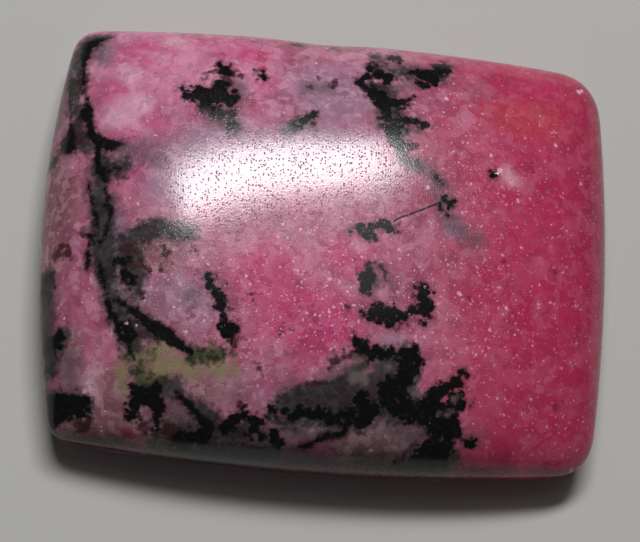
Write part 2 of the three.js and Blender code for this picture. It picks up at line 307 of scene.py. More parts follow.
# Dark reddish brown stains.
BROWN = {
    "left strand": [(-11.7, 6.65, 0.26), (-11.6, 6.5, 0.22)],
    "left strand foot": [(-11.6, 3.5, 0.34), (-11.7, 3.4, 0.32)],
    "flank": [(-11.7, -1.1, 0.15), (-11.72, -1.5, 0.15)],
    "flank right": [(-11.45, -1.1, 0.08), (-11.4, -1.5, 0.22), (-11.35, -1.6, 0.20)],
    "flank spot": [(-10.88, -0.62, 0.08), (-10.75, -0.62, 0.09)],
    "left spot": [(-9.0, 3.68, 0.10), (-8.94, 3.68, 0.10)],
    "top dash": [(-0.95, 7.12, 0.17), (-0.4, 6.9, 0.17)],
    "top dot": [(-1.58, 6.6, 0.10), (-1.52, 6.6, 0.10)],
    "top halo": [(-6.0, 6.9, 0.18), (-5.5, 7.2, 0.28), (-5.1, 7.1, 0.30), (-4.6, 6.9, 0.16)],
    "top halo low": [(-5.1, 6.8, 0.26), (-5.2, 6.5, 0.24)],
    "top spot": [(-3.58, 7.3, 0.14), (-3.55, 7.0, 0.24)],
    "right cap": [(1.15, 7.95, 0.20), (1.3, 7.4, 0.20)],
    "right stem foot": [(2.95, 4.1, 0.12), (3.1, 4.05, 0.12)],
    "olive dash": [(-8.9, -1.2, 0.08), (-8.35, -1.1, 0.08)],
    "olive bar": [(-9.0, -1.45, 0.13), (-8.5, -1.45, 0.13)],
    "left dots": [(-8.55, -2.05, 0.18), (-8.35, -2.05, 0.18)],
    "left blot": [(-8.8, -2.6, 0.28), (-8.6, -2.6, 0.28)],
    "left blot foot": [(-8.62, -2.97, 0.12), (-8.55, -3.05, 0.12)],
    "left specks": [(-8.3, -3.15, 0.12), (-8.15, -3.4, 0.12)],
    "smear dots": [(-7.4, -1.4, 0.14), (-7.38, -1.6, 0.13)],
    "smear low": [(-7.4, -2.05, 0.09), (-7.4, -2.15, 0.09)],
    "smear right": [(-6.12, -1.3, 0.12), (-6.05, -1.3, 0.12)],
    "smear left": [(-7.92, -2.35, 0.10), (-7.88, -2.35, 0.10)],
    "centre dot": [(-3.65, -2.9, 0.12), (-3.6, -3.1, 0.09), (-3.55, -3.4, 0.07)],
    "pit stain": [(-2.25, -4.6, 0.12), (-1.9, -4.5, 0.10)],
    "dagger foot": [(-4.8, -4.1, 0.20), (-4.45, -4.6, 0.26), (-4.2, -5.0, 0.22)],
    "ring side": [(0.8, -1.4, 0.07), (0.75, -1.95, 0.08)],
    "lens side": [(0.52, -3.35, 0.08), (0.58, -3.35, 0.08)],
    "cluster": [(0.0, -5.7, 0.26), (0.6, -5.4, 0.22), (1.2, -5.2, 0.24)],
    "cluster edge": [(-0.9, -6.7, 0.12), (-0.3, -6.5, 0.12)],
    "front arc": [(-3.4, -5.9, 0.07), (-3.1, -6.05, 0.09), (-2.9, -6.35, 0.10)],
    "front": [(-6.55, -8.65, 0.34), (-6.3, -8.9, 0.32)],
    "front purple": [(-10.2, -8.6, 0.24), (-10.0, -8.6, 0.24)],
    "front dots": [(-3.8, -7.7, 0.13), (-3.7, -7.7, 0.13)],
    "front dots right": [(-3.47, -7.7, 0.09), (-3.43, -7.7, 0.09)],
    "red crystal": [(-7.75, -8.5, 0.22), (-7.55, -8.55, 0.24)],
    "orange dot": [(-8.37, -6.95, 0.12), (-8.33, -6.95, 0.12)],
}

# Olive-green patches, most of them at the front left, and the cream ground beside the branch.
OLIVE = {
    "green": [(-7.65, -5.8, 0.20), (-7.95, -6.15, 0.26), (-7.95, -6.6, 0.32), (-7.6, -7.0, 0.28)],
    "speckle": [(-5.7, -5.72, 0.20), (-5.3, -5.75, 0.26), (-4.8, -5.7, 0.24), (-4.5, -5.5, 0.16)],
    "flank speckle": [(-10.35, -8.15, 0.14), (-10.25, -8.15, 0.14)],
    "corner": [(-11.1, -9.2, 0.20), (-10.5, -9.4, 0.20)],
    "front": [(-7.0, -9.3, 0.34), (-6.2, -9.3, 0.34)],
    "branch end": [(-6.0, -5.55, 0.16), (-5.5, -5.6, 0.22), (-5.0, -5.5, 0.22)],
}
CREAM = {
    "centre": [(-7.3, -5.6, 0.50), (-6.8, -5.95, 0.55), (-6.4, -6.2, 0.50)],
    "left": [(-8.3, -5.8, 0.34), (-7.7, -5.9, 0.50)],
    "strip": [(-6.0, -6.3, 0.34), (-5.4, -6.35, 0.30), (-4.8, -6.25, 0.28), (-4.2, -6.2, 0.20)],
    "tan": [(-8.75, -6.4, 0.16), (-8.6, -7.0, 0.18), (-8.55, -7.6, 0.12)],
    "middle": [(-7.6, -6.3, 0.34), (-6.9, -6.5, 0.40), (-6.2, -6.6, 0.30)],
}

# Pale grey inclusions among the black minerals.
PALE = {
    "cluster": [(0.75, -6.0, 0.14), (1.0, -6.25, 0.24), (1.3, -6.2, 0.26), (1.45, -6.0, 0.16)],
    "cluster light": [(0.9, -5.55, 0.12), (1.15, -5.5, 0.12)],
    "cluster right": [(2.2, -5.65, 0.14), (2.45, -5.6, 0.12)],
    "black gap": [(3.75, -6.2, 0.14), (3.6, -6.6, 0.22), (3.85, -6.65, 0.20)],
    "jagged gap": [(4.9, -7.3, 0.05), (5.3, -7.15, 0.05)],
    "jagged gap top": [(5.3, -6.75, 0.03), (5.5, -6.65, 0.03)],
}

# Milky pink-white patches.
MILK = {
    "top": [(-7.5, 8.5, 0.35), (-7.2, 8.5, 0.38)],
    "top streak": [(-8.1, 7.8, 0.16), (-7.7, 7.7, 0.16)],
    "left": [(-9.4, 5.0, 0.65), (-9.7, 4.6, 0.50), (-8.8, 5.2, 0.45)],
    "left high": [(-9.3, 6.7, 0.30), (-9.0, 6.6, 0.26)],
    "chip": [(-9.8, -6.55, 0.15), (-10.05, -6.9, 0.15), (-10.15, -7.25, 0.18), (-9.8, -7.5, 0.15)],
    "right lilac": [(7.3, 3.3, 0.22), (7.9, 3.0, 0.14)],
    "dotted foot": [(0.75, -0.7, 0.14), (0.9, -0.75, 0.14)],
    "front": [(-4.9, -6.7, 0.12), (-4.2, -6.7, 0.10), (-3.6, -6.5, 0.08)],
    "dagger side": [(-6.8, -2.4, 0.12), (-6.6, -2.9, 0.14)],
}

# Bright flecks, painted glints where the stone sparkles: x, y and radius.
GLINTS = [
    (-9.9, 5.35, 0.06), (-8.55, 5.15, 0.08), (-8.4, 4.45, 0.06), (-8.3, 5.65, 0.06),
    (-6.85, 5.35, 0.06), (2.1, 3.9, 0.12), (4.55, 6.7, 0.12), (10.95, 8.35, 0.15),
    (11.1, 8.45, 0.10), (9.6, 5.2, 0.13), (5.25, 4.6, 0.10), (6.55, 4.15, 0.11),
    (4.85, 4.1, 0.06), (3.85, 3.65, 0.06), (5.05, 3.5, 0.06), (5.3, 3.4, 0.06),
    (5.8, 3.55, 0.06), (6.95, 3.5, 0.15), (3.7, 2.3, 0.12), (5.65, 2.7, 0.07), (5.45, 1.4, 0.07),
    (4.75, 0.25, 0.07), (4.2, 0.65, 0.07), (7.8, 2.25, 0.10), (4.15, -0.8, 0.06), (4.15, -1.1, 0.06),
    (6.4, -0.25, 0.07), (7.15, -0.35, 0.10), (8.0, 0.1, 0.08), (3.75, -2.15, 0.06), (5.3, -2.3, 0.13),
    (6.25, -2.55, 0.07), (7.4, -2.65, 0.11), (7.7, -2.95, 0.07), (6.35, -1.75, 0.07),
    (5.25, -3.15, 0.07), (6.7, -3.65, 0.08), (5.25, -4.1, 0.07), (7.4, -3.75, 0.07),
    (-0.35, -2.2, 0.11), (-1.25, -1.2, 0.07), (-0.6, -0.85, 0.07), (-1.25, -2.65, 0.06),
    (-0.9, -3.55, 0.06), (3.15, -3.4, 0.06), (0.2, -2.3, 0.06), (-11.1, -2.8, 0.07),
    (4.85, -4.65, 0.07), (5.75, -4.6, 0.07), (6.4, -4.6, 0.07), (6.15, -4.8, 0.07), (7.5, -4.45, 0.07),
    (8.75, -6.35, 0.08), (7.25, -6.5, 0.07), (6.75, -6.4, 0.07), (7.45, -7.1, 0.07),
    (9.65, -7.35, 0.08), (10.05, -7.2, 0.08), (8.85, -7.8, 0.08), (11.35, -6.6, 0.08),
    (11.35, -6.85, 0.08), (11.1, -8.8, 0.10), (10.55, -4.5, 0.09), (6.3, -7.6, 0.06),
    (6.2, -6.9, 0.06), (4.4, -7.75, 0.06), (7.85, -3.75, 0.06), (8.55, -3.9, 0.07), (6.0, -6.25, 0.06),
    (-7.15, -8.65, 0.07), (-11.0, -4.85, 0.06), (-8.7, -4.55, 0.09), (-8.3, -4.65, 0.09),
    (-9.85, -6.62, 0.07), (-10.1, -6.95, 0.09), (-10.2, -7.3, 0.12), (-10.0, -7.5, 0.07),
]

# The fine crack that runs right from the middle, and its half width.
CRACK = [(2.3, 0.6), (2.6, 0.8), (3.0, 0.98), (3.35, 1.15), (3.9, 1.45), (4.25, 1.65)]
CRACK_HALF_WIDTH = 0.045

# Soft areas: x, y, reach along, reach across and strength. This is where the fine pale flecks,
# painted sparkle, are thickest.
SPARKLE = [
    (0.5, -2.6, 4.0, 3.2, 1.0), (5.5, -2.4, 3.2, 3.4, 1.0), (5.6, 2.8, 2.4, 2.0, 0.8),
    (-7.6, -2.6, 2.2, 1.6, 0.6), (-7.2, -5.8, 1.4, 0.7, 0.5), (4.0, 6.0, 2.4, 1.4, 0.5),
    (8.6, -6.6, 2.6, 1.8, 0.5), (8.4, 2.4, 2.6, 3.6, 0.4), (-3.6, -3.4, 3.0, 2.4, 0.7),
    (9.6, -2.4, 2.2, 3.4, 0.4),
]

# Soft areas of colour.
# SHADE is painted shade: darker toward the front, left and right flanks and on the wall under them.
SHADE = [
    (-9.5, -9.5, 2.8, 1.0, 0.75), (-5.0, -9.6, 2.8, 1.3, 1.0), (-1.0, -9.8, 3.5, 1.1, 1.0),
    (3.0, -9.8, 3.5, 1.1, 1.0), (7.0, -9.7, 3.5, 0.9, 0.8), (10.5, -9.4, 2.5, 0.9, 0.6),
    (-12.4, 5.8, 0.5, 2.6, 0.6), (-12.2, -4.6, 0.8, 2.2, 1.0), (-12.0, -7.8, 0.8, 1.6, 0.8),
    (12.4, 0.0, 0.35, 7.0, 0.5), (0.5, -6.9, 1.8, 0.8, 0.5), (-5.5, -8.3, 1.8, 0.6, 0.5),
    (-11.4, -6.2, 0.7, 1.6, 0.5),
]
ROSE = [
    (-6.5, 7.5, 4.5, 2.8, 1.0), (-8.6, 3.5, 2.2, 3.0, 0.8), (-9.2, 6.5, 1.6, 2.5, 0.8),
    (-4.0, -7.0, 2.2, 0.9, 0.6), (-8.2, 8.2, 2.5, 1.2, 0.5),
]
VIVID = [
    (-2.8, -2.3, 2.2, 1.8, 1.0), (-1.2, -4.2, 2.8, 1.4, 1.0), (0.4, -1.2, 2.0, 1.6, 0.7),
    (-1.6, -3.6, 3.0, 2.4, 0.9), (-8.55, 8.3, 0.6, 0.5, 0.6), (-10.4, -4.6, 0.6, 0.6, 0.4),
    (-0.5, -4.6, 0.9, 0.7, 0.9), (-1.2, 1.2, 2.0, 1.2, 0.4), (-3.55, 7.4, 0.3, 0.2, 0.8),
    (-4.2, 2.6, 1.6, 1.2, 0.4), (-4.0, 8.1, 1.4, 0.7, 0.8),
]
LILAC = [
    (-0.4, 6.4, 2.6, 2.2, 0.9), (2.4, -4.6, 1.0, 0.5, 0.8), (-9.6, -1.4, 0.7, 2.6, 0.9),
    (-6.6, -3.4, 2.6, 1.6, 0.75), (-10.4, 8.0, 0.7, 0.9, 0.8), (-7.6, 1.0, 2.4, 1.2, 0.4),
    (-6.3, -8.2, 1.0, 0.6, 0.8), (-3.0, -7.3, 2.4, 0.8, 0.5), (4.9, 0.6, 1.1, 0.8, 0.7),
    (2.2, 2.6, 1.6, 1.4, 0.5), (3.4, 6.2, 1.6, 1.0, 0.4), (5.6, 7.2, 2.4, 1.6, 0.42),
    (8.4, 2.6, 2.2, 2.6, 0.27),
    # These three lie under the highlight: a pale grey-lilac that is partly painted highlight, so the
    # highlight reads whiter.
    (-4.6, 3.2, 4.2, 1.6, 1.0), (-7.0, 1.6, 2.0, 1.2, 0.9), (-1.0, 4.0, 3.0, 1.2, 0.9),
]
# Dull mauve of the stone. The areas on the left flank and at the front left are also painted shade,
# darker toward those flanks.
DULL = [
    (-9.0, -8.0, 2.6, 1.7, 1.5), (-7.4, -1.5, 1.7, 1.1, 0.8), (-10.9, -5.8, 0.8, 2.0, 0.8),
    (-12.0, 0.5, 1.1, 4.5, 0.9), (-11.2, -2.5, 0.9, 2.0, 0.5), (-8.4, -1.9, 1.3, 1.0, 0.6),
    (-9.8, -8.6, 1.6, 0.8, 0.5), (-9.4, 2.8, 0.6, 0.8, 0.8), (-8.6, 3.5, 0.5, 0.4, 0.4),
    (-2.2, -0.5, 0.5, 0.5, 0.4), (-4.5, 6.3, 0.6, 0.5, 0.7), (-4.8, -7.0, 2.2, 0.8, 0.9),
    (0.0, 9.0, 2.0, 0.6, 0.5), (-8.0, -4.6, 3.0, 2.6, 0.5), (-8.5, 0.6, 2.4, 1.2, 0.45),
]
TAN = [
    (2.4, -8.7, 2.0, 1.0, 1.3), (-0.8, -8.35, 1.8, 0.45, 1.1), (-0.6, -9.4, 1.4, 0.5, 0.5),
    (-6.5, -9.3, 1.2, 0.4, 0.5), (-9.5, 2.8, 0.4, 0.5, 0.4),
]
ORANGE = [
    (8.0, 6.2, 3.0, 1.2, 0.8), (4.8, 5.4, 1.4, 0.9, 0.5),
    (8.85, 6.85, 0.9, 0.5, 0.8), (10.4, 7.4, 0.5, 0.4, 0.8), (6.1, 5.7, 0.7, 0.5, 0.7),
    (8.6, 1.4, 1.4, 1.0, 0.25), (6.6, 7.6, 1.2, 0.5, 0.4),
]
MAGENTA_SPOTS = [
    (9.6, -0.7, 0.22, 0.2, 0.9), (7.6, -2.85, 0.2, 0.18, 0.8), (5.7, -2.45, 0.2, 0.18, 0.8),
    (7.2, -0.6, 0.2, 0.18, 0.8), (10.0, -6.5, 0.25, 0.2, 0.8), (-8.25, -8.9, 0.7, 0.4, 0.7),
]

# Small pits ground out of the dome: x, y, radius and depth.
PITS = [
    (6.7, 3.35, 0.16, 0.07), (-10.9, -3.5, 0.15, 0.06), (-1.85, -4.45, 0.13, 0.06),
    (-10.25, -7.4, 0.14, 0.06), (-9.95, -7.0, 0.34, 0.05), (-12.1, -2.6, 0.28, 0.06),
    (-12.1, -3.1, 0.26, 0.05), (-11.9, -5.8, 0.35, 0.05), (3.1, -9.2, 0.20, 0.05),
    (10.95, 8.35, 0.20, 0.04),
]

# The names under which the material reads each kind of marking and area from the mesh.
DRAWN = {
    "black_vein": BLACK_VEINS, "black_patch": BLACK_PATCHES, "slate": SLATE, "smoke": SMOKE,
    "brown": BROWN, "olive": OLIVE, "cream": CREAM, "pale": PALE, "milk": MILK,
}
AREAS = {
    "sparkle": SPARKLE, "shade": SHADE, "rose": ROSE, "vivid": VIVID, "lilac": LILAC, "dull": DULL,
    "tan": TAN, "orange": ORANGE, "magenta": MAGENTA_SPOTS,
}


def colour(red, green, blue):
    """A linear colour with full alpha from the eight-bit numbers of a screen colour."""
    def linear(value):
        share = value / 255
        if share <= 0.04045:
            return share / 12.92
        return ((share + 0.055) / 1.055) ** 2.4
    return (linear(red), linear(green), linear(blue), 1.0)


# Colours of the stone.
DUSKY_PINK = colour(176, 92, 122)
DUSKY_LIGHT = colour(192, 118, 146)
ROSE_PINK = colour(200, 92, 134)
LIGHT_ROSE = colour(210, 130, 162)
VIVID_PINK = colour(200, 64, 116)
CRIMSON_PINK = colour(184, 44, 84)
CORAL_PINK = colour(188, 56, 92)
DEEP_CRIMSON = colour(154, 20, 62)
LILAC_MAUVE = colour(158, 122, 146)
DULL_MAUVE = colour(130, 86, 92)
TAN_GREY = colour(112, 98, 90)
ORANGE_RED = colour(188, 66, 74)
MAGENTA_DARK = colour(138, 18, 54)
MILKY_WHITE = colour(232, 184, 204)
# Colour of the painted glints.
PALE_PINK = colour(250, 190, 208)
BLACK_OXIDE = colour(10, 12, 12)
BLACK_GREEN = colour(26, 32, 28)
SLATE_DARK = colour(40, 38, 40)
SLATE_GREEN = colour(58, 60, 58)
SMOKE_GREY = colour(96, 82, 90)
DARK_BROWN = colour(62, 30, 32)
# Purple of the stain along the black and of the dull crystals, and painted shade in the fine pits.
STAIN_AND_PIT_SHADE_PURPLE = colour(88, 42, 58)
# Colours of the painted shade on the flanks.
SHADOW_BROWN = colour(34, 20, 22)
SHADOW_CRIMSON = colour(96, 16, 36)
# Colour of the painted sparkle flecks.
FLECK_PINK = colour(252, 186, 206)
# Grey of the painted sparkle specks on the dark minerals.
SPARKLE_SPECK_GREY = colour(150, 160, 156)
OLIVE_GREEN = colour(86, 90, 56)
OLIVE_DARK = colour(44, 50, 28)
CREAM_OLIVE = colour(136, 132, 92)
TAN_PINK = colour(152, 118, 108)
PALE_GREY = colour(118, 102, 102)

# Colours of two tones: the tones, and where in a noise the second one begins and is full.
DUSKY_TONES = (DUSKY_PINK, DUSKY_LIGHT, 0.42, 0.62)
ROSE_TONES = (ROSE_PINK, LIGHT_ROSE, 0.38, 0.60)
RED_TONES = (CRIMSON_PINK, CORAL_PINK, 0.40, 0.64)
CREAM_TONES = (CREAM_OLIVE, TAN_PINK, 0.42, 0.62)
SLATE_TONES = (SLATE_DARK, SLATE_GREEN, 0.36, 0.70)
OLIVE_TONES = (OLIVE_DARK, OLIVE_GREEN, 0.36, 0.64)
BLACK_TONES = (BLACK_OXIDE, BLACK_GREEN, 0.52, 0.78)

# Noises in the stone: size in millimetres, detail, roughness and distortion.
NOISES = {
    "clouds": (3.4, 2.0, 0.55, 0.4), "blotch": (1.9, 3.0, 0.6, 0.6), "mottle": (0.9, 3.0, 0.6, 0.3),
    "speckle": (0.24, 2.0, 0.6), "grit": (0.09, 1.0), "wall": (0.05, 1.0),
}

# How far noises move an edge: each moves it by up to half its number either way. Numbers are
# millimetres for markings, and shares of a cell or of full strength for flecks and areas.
DRIFT = {"clouds": 3.0, "mottle": 2.2, "speckle": 0.8}
AREA_WANDER = {"clouds": 0.4, "mottle": 0.7, "speckle": 0.3}
MILK_WANDER = {"clouds": 0.6, "mottle": 1.3, "speckle": 0.5}
RAGGED = {"mottle": 0.55, "speckle": 0.38}
TORN = {"mottle": 0.30, "speckle": 0.30, "grit": 0.10}
CLOUDY = {"mottle": 0.8, "speckle": 0.6}
OLIVE_WANDER = {"speckle": 0.9}
GLINT_WANDER = {"speckle": 0.16, "grit": 0.12}
FLECK_WANDER = {"grit": 0.30, "speckle": 0.30}
CRACK_WANDER = {"grit": 0.03}

# Angular cells that make the edges of stains and patches jagged: size and reach in millimetres.
JAGS = ((0.42, 0.40), (0.19, 0.22))

# How much of the raggedness and the cloudiness the slate and the olive take.
SLATE_RAGGED = 0.6
SLATE_CLOUDY = 0.4
OLIVE_RAGGED = 0.8

# Where along the stone the crimson and the deep crimson begin and are full, in millimetres.
CRIMSON_REACH = (1.0, 8.0)
DEEP_REACH = (9.0, 13.5)

# Strength at which a soft area begins and is full, and the same for small spots.
AREA_EDGE = (0.2, 0.8)
SPOT_EDGE = (0.3, 0.7)

# How soft each marking's edge is, and how far it grows past its strokes, in millimetres. The
# halo is the stain along the black.
EDGES = {
    "milk": (0.42, 0.0), "smoke": (0.45, 0.0), "halo": (0.24, 0.10), "cream": (0.32, 0.08),
    "slate": (0.24, 0.06), "olive": (0.26, 0.08), "brown": (0.13, 0.0), "black": (0.08, 0.0),
    "crack": (0.03, CRACK_HALF_WIDTH), "pale": (0.18, 0.02), "glint": (0.04, -0.03),
}
PATCH_GROWTH = 0.07

# How much of what lies under it each layer hides where it is full.
COVER = {
    "rose": 1.0, "vivid": 0.9, "crimson": 0.97, "deep": 0.75, "orange": 0.6, "lilac": 0.8,
    "dull": 0.85, "tan": 0.9, "magenta": 0.8, "milk": 0.55, "clouding": 0.20, "shade": 0.88,
    "pit": 0.22, "smoke": 0.72, "halo": 0.72, "cream": 0.84, "slate": 0.93, "olive": 0.78,
    "brown": 0.9, "black": 0.985, "dark_sparkle": 0.13, "pale": 0.75, "glint": 0.75,
}

# Interlocked crystals in two sizes: size in millimetres and strength of their tints. Each has a
# random number, with which the pale tint sets in and the dull one fades out.
CRYSTALS = ((0.85, 0.17), (0.34, 0.21))
CRYSTAL_PALE = (0.60, 0.95)
CRYSTAL_DULL = (0.05, 0.40)

# How much less the pale tints show on crimson and on vivid pink, and the dull tints on crimson.
PALE_LOSS_CRIMSON = 0.7
PALE_LOSS_VIVID = 0.5
DULL_LOSS_CRIMSON = 0.3

# Bends of the crystals and ripples of the flecks: waves for each millimetre, and reach.
CRYSTAL_BEND = (2.0, 0.7)
FLECK_BEND = (7.0, 0.22)

# Milky clouding follows the mottle: where in it the clouding begins and is full.
CLOUDING_EDGE = (0.50, 0.80)
CLOUDING_WANDER = {"speckle": 0.6}

# Pale flecks, which are painted sparkle: size in millimetres, rarity, how much less rare they are in
# the sparkle areas, how much they hide, and how much less on crimson.
FLECKS = {"coarse": (0.18, 0.965, 0.22, 0.85, 0.40), "fine": (0.14, 0.94, 0.36, 0.60, 0.22)}

# A fleck's least radius, how much larger it may be, and its softness, in shares of its cell.
FLECK_RADIUS = 0.14
FLECK_SPREAD = 0.24
FLECK_SOFTNESS = 0.08
FLECK_CHANCE_STEP = 0.04

# Fine pits of the polish: cell in millimetres, softness and radius in shares of it, and the share
# of cells without one, which wanders with the mottle.
PIT_CELL = 0.105
PIT_SOFTNESS = 0.14
PIT_RADIUS = 0.27
PIT_RARE = 0.46
PIT_WANDER = {"mottle": 0.5}
PIT_CHANCE_STEP = 0.06
PIT_LOSS_DARK = 0.85

# The crack comes into view over this height above the girdle, in millimetres.
CRACK_FADE = 0.5

# The polish. The wall is satin below the first height and glossy above the second, in millimetres.
WALL_FADE = (0.4, 1.3)
ROUGHNESS = {"polished": 0.16, "pit": 0.70, "unpolished": 0.12}
ROUGHNESS_WANDER = {"speckle": 0.10}
RELIEF = {"pit": -1.0, "black": -0.10, "wall": 0.4}
RELIEF_WANDER = {"grit": 0.25}
RELIEF_STRENGTH = 0.6
RELIEF_DEPTH = 0.016
POLISH_IOR = 1.48

# Floor, in metres, with the tooth of its paper: size, detail and roughness.
FLOOR_COLOUR = colour(190, 189, 186)
FLOOR_SIZE = 1.2
FLOOR_DROP = 0.00002
PAPER_ROUGHNESS = 0.9
PAPER_TOOTH = (0.004, 3.0, 0.6)
PAPER_STRENGTH = 0.2
PAPER_DEPTH = 0.0001

# Lights, in metres, watts and degrees. They aim at the middle of the stone.
ROOM_BRIGHTNESS = 0.05
LIT_MIDDLE = (0, 0, 0.003)
MAIN_SOFTBOX = {
    "direction": (-0.027, 0.448, 0.885), "distance": 0.30, "width": 0.161, "height": 0.050,
    "power": 0.72, "turn": 18,
}
OVERHEAD = {
    "direction": (0.06, 0.25, 0.97), "distance": 0.40, "width": 0.16, "height": 0.12,
    "power": 0.05, "turn": 0,
}

# Camera. Its distance, target, lens and sensor are in millimetres, what it can see in metres.
CAMERA_AZIMUTH = -25
CAMERA_ELEVATION = 72
CAMERA_ROLL = 28.8
CAMERA_DISTANCE = 116
CAMERA_TARGET = (-0.249, -0.732, 2.0)
CAMERA_LENS = 149.06
CAMERA_SENSOR = 36
NEAREST_SEEN = 0.01
FARTHEST_SEEN = 10


def signed_distance(plan, strokes):
    """Distance in millimetres from each plan point to the nearest stroke's edge, less than 0 inside."""
    nearest = np.full(len(plan), FARTHEST)
    for points in strokes.values():
        for start, end in zip(points, points[1:]):
            ends = np.array([start, end])
            low = ends.min(axis=0)[:2] - FARTHEST
            high = ends.max(axis=0)[:2] + FARTHEST
            near = np.nonzero(np.all((plan > low) & (plan < high), axis=1))[0]
            offset = plan[near] - start[:2]
            along = ends[1, :2] - ends[0, :2]
            share = np.clip(offset @ along / max(along @ along, LEAST_SQUARED), 0, 1)
            half_width = start[2] + share * (end[2] - start[2])
            distance = np.linalg.norm(offset - share[:, None] * along, axis=1) - half_width
            nearest[near] = np.minimum(nearest[near], distance)
    return nearest


def spot_distance(plan, spots):
    """Distance in millimetres from each plan point to the nearest round spot's edge."""
    nearest = np.full(len(plan), FARTHEST)
    for x, y, radius in spots:
        nearest = np.minimum(nearest, np.linalg.norm(plan - (x, y), axis=1) - radius)
    return nearest


def soft_area(plan, areas):
    """The strongest of the soft areas at each plan point, 0 far from all of them."""
    strongest = np.zeros(len(plan))
    for x, y, along, across, strength in areas:
        reach = ((plan[:, 0] - x) / along) ** 2 + ((plan[:, 1] - y) / across) ** 2
        strongest = np.maximum(strongest, strength * np.exp(-reach))
    return strongest


def store(piece, name, values):
    """Keeps one number for each vertex under a name that the material reads."""
    attribute = piece.data.attributes.new(name, "FLOAT", "POINT")
    attribute.data.foreach_set("value", values.astype(np.float32))


def vertex_places(piece):
    """All vertices of a piece, in millimetres."""
    places = np.empty(len(piece.data.vertices) * 3, np.float32)
    piece.data.vertices.foreach_get("co", places)
    return places.reshape(-1, 3).astype(float) / MM


def select_faces(piece, chosen):
    """Selects the faces for which chosen(polygon) is true, and nothing else."""
    bpy.ops.object.mode_set(mode="EDIT")
    bpy.ops.mesh.select_mode(type="FACE")
    bpy.ops.mesh.select_all(action="DESELECT")
    bpy.ops.object.mode_set(mode="OBJECT")
    for polygon in piece.data.polygons:
        polygon.select = chosen(polygon)
    bpy.ops.object.mode_set(mode="EDIT")


def copy_of_solid():
    """A copy of the stone's solid, with its loose triangles joined."""
    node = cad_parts["stone"]
    piece = node.copy()
    piece.data = node.data.copy()
    piece.parent = None
    for key in list(piece.keys()):
        del piece[key]
    piece.name = "rhodonite_cabochon"
    piece.data.name = "rhodonite_cabochon"
    piece.data.materials.clear()
    bpy.context.scene.collection.objects.link(piece)

    bpy.ops.object.select_all(action="DESELECT")
    bpy.context.view_layer.objects.active = piece
    piece.select_set(True)
    bpy.ops.mesh.customdata_custom_splitnormals_clear()
    bpy.ops.object.mode_set(mode="EDIT")
    bpy.ops.mesh.select_all(action="SELECT")
    bpy.ops.mesh.remove_doubles(threshold=MERGE_DISTANCE * MM)
    bpy.ops.mesh.tris_convert_to_quads()
    bpy.ops.object.mode_set(mode="OBJECT")
    return piece


def cut_back(piece):
    """Makes the back one face with a narrow ring inside its edge, so that the edge stays crisp, and
    cuts the face into even cells."""
    select_faces(piece, lambda polygon: polygon.normal.z < FACING_DOWN)
    bpy.ops.mesh.dissolve_faces()
    bpy.ops.mesh.inset(thickness=BACK_EDGE_INSET * MM)
    bpy.ops.object.mode_set(mode="OBJECT")
    inner_back = max(piece.data.polygons, key=lambda polygon: polygon.area)
    inner_back.material_index = BACK_MARK
    for axis, cuts in ((0, BACK_CUTS_ALONG), (1, BACK_CUTS_ACROSS)):
        for cut in range(-cuts, cuts + 1):
            place = [0, 0, 0]
            normal = [0, 0, 0]
            place[axis] = cut * BACK_CELL * MM
            normal[axis] = 1
            select_faces(piece, lambda polygon: polygon.material_index == BACK_MARK)
            bpy.ops.mesh.bisect(plane_co=place, plane_no=normal)
            bpy.ops.object.mode_set(mode="OBJECT")
    for polygon in piece.data.polygons:
        polygon.material_index = 0


def smooth_dome(piece):
    """Rounds the facets, and divides the dome's middle once more, because its cells are widest."""
    smoothing = piece.modifiers.new("smoothing", "SUBSURF")
    smoothing.levels = SMOOTHING_LEVELS
    smoothing.render_levels = SMOOTHING_LEVELS
    bpy.ops.object.modifier_apply(modifier=smoothing.name)

    def on_dome(polygon):
        x, y, z = polygon.center / MM
        return abs(x) < FINE_HALF_LENGTH and abs(y) < FINE_HALF_WIDTH and z > FINE_LOWEST
    select_faces(piece, on_dome)
    bpy.ops.mesh.subdivide(number_cuts=1, smoothness=0)
    bpy.ops.object.mode_set(mode="OBJECT")
    bpy.ops.object.shade_smooth()


def press_pits(piece):
    """Presses the small pits into the surface, by a weight on each vertex."""
    places = vertex_places(piece)
    group = piece.vertex_groups.new(name="pits")
    deepest = max(depth for x, y, radius, depth in PITS)
    weights = np.zeros(len(places))
    for x, y, radius, depth in PITS:
        reach = np.linalg.norm(places[:, :2] - (x, y), axis=1) / radius
        bowl = np.clip(1 - reach ** 2, 0, None) * depth / deepest
        weights = np.maximum(weights, bowl)
    weights[places[:, 2] < GIRDLE_HEIGHT] = 0
    for index in np.nonzero(weights)[0]:
        group.add([int(index)], float(weights[index]), "REPLACE")
    pressing = piece.modifiers.new("pressing", "DISPLACE")
    pressing.direction = "NORMAL"
    pressing.mid_level = 0
    pressing.strength = -deepest * MM
    pressing.vertex_group = group.name
    bpy.ops.object.modifier_apply(modifier=pressing.name)
    piece.vertex_groups.clear()


def mark(piece):
    """Keeps on each vertex how near it is to each kind of marking and how far into each area."""
    places = vertex_places(piece)
    depth = np.clip(GIRDLE_HEIGHT - places[:, 2], 0, None)
    plan = places[:, :2] + depth[:, None] * np.array(VEIN_SLANT)
    glint_plan = places[:, :2] + depth[:, None] * np.array(GLINT_SLANT)
    for name, strokes in DRAWN.items():
        store(piece, name, signed_distance(plan, strokes))
    store(piece, "glint", spot_distance(glint_plan, GLINTS))
    for name, areas in AREAS.items():
        store(piece, name, soft_area(plan, areas))


def polished_stone():
    """The stone, smoothed from the solid, with its pits and the places of its markings."""
    piece = copy_of_solid()
    cut_back(piece)
    smooth_dome(piece)
    press_pits(piece)
    mark(piece)
    return piece


